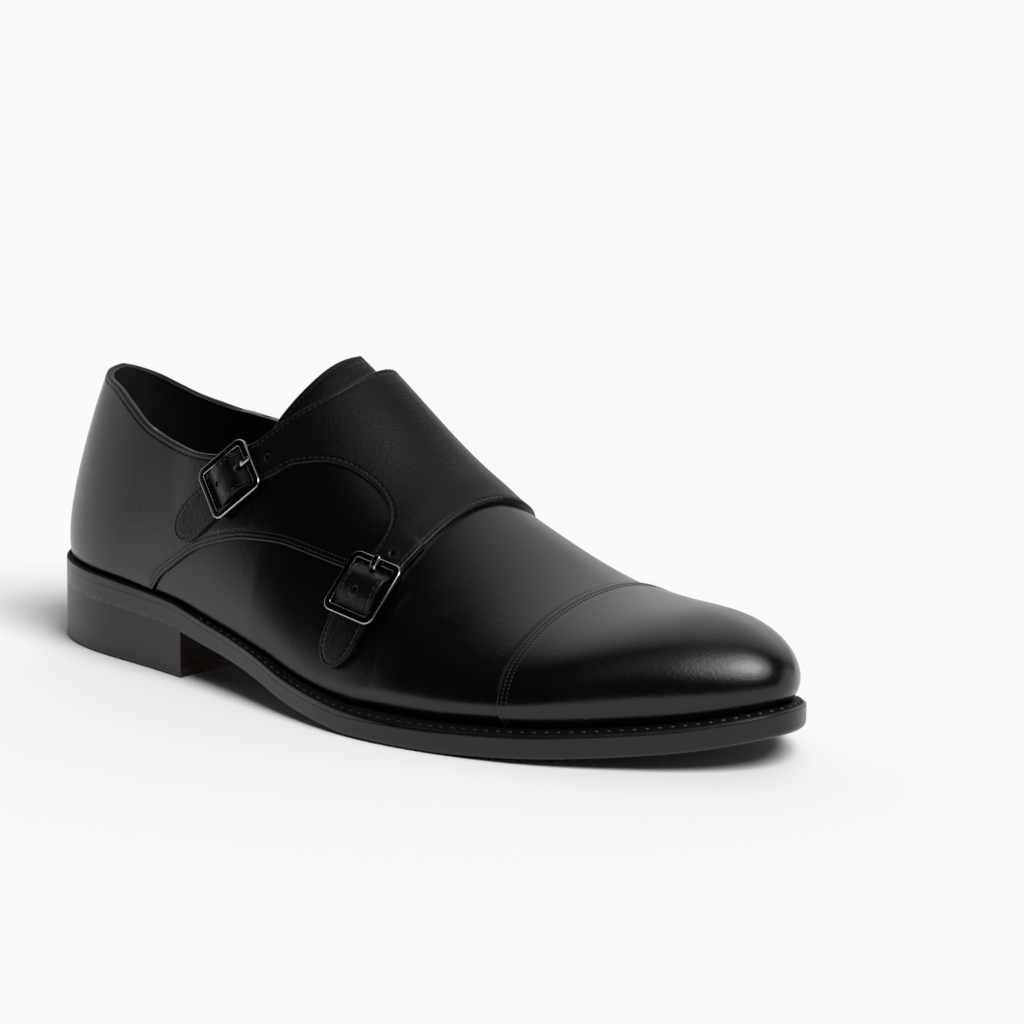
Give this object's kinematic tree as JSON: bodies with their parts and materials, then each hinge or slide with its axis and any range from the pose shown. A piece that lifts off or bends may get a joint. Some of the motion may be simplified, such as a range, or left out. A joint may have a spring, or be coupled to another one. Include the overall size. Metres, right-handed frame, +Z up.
{
  "type": "monk strap shoe",
  "caption": "Black leather dress shoe for the right foot, with a toe cap, buckled straps over the instep, a welted leather sole and a stacked heel.",
  "frame": {"origin": "middle of the bounding box's underside, on the floor the shoe stands on", "axes": "+X from heel to toe, +Y to the shoe's medial side, +Z up from the floor"},
  "size_m": [0.301, 0.1122, 0.1053],
  "materials": {
    "upper_leather": "polished black calf",
    "edge_leather": "black inked edge",
    "heel_leather": "black inked stack, brown breast",
    "heel_rubber": "matt",
    "insole_leather": "natural tan",
    "buckle_metal": "dark polished"
  },
  "bodies": {
    "root": {"outsole": "edge_leather", "welt": "edge_leather", "heel_rand": "edge_leather", "heel_stack": "heel_leather", "heel_top_lift": "heel_rubber", "insole": "insole_leather", "upper": "upper_leather", "toe_cap": "upper_leather", "tongue": "upper_leather", "monk_flap": "upper_leather", "buckle_upper": "buckle_metal", "buckle_lower": "buckle_metal", "prong_upper": "buckle_metal", "prong_lower": "buckle_metal"}
  },
  "joints": []
}
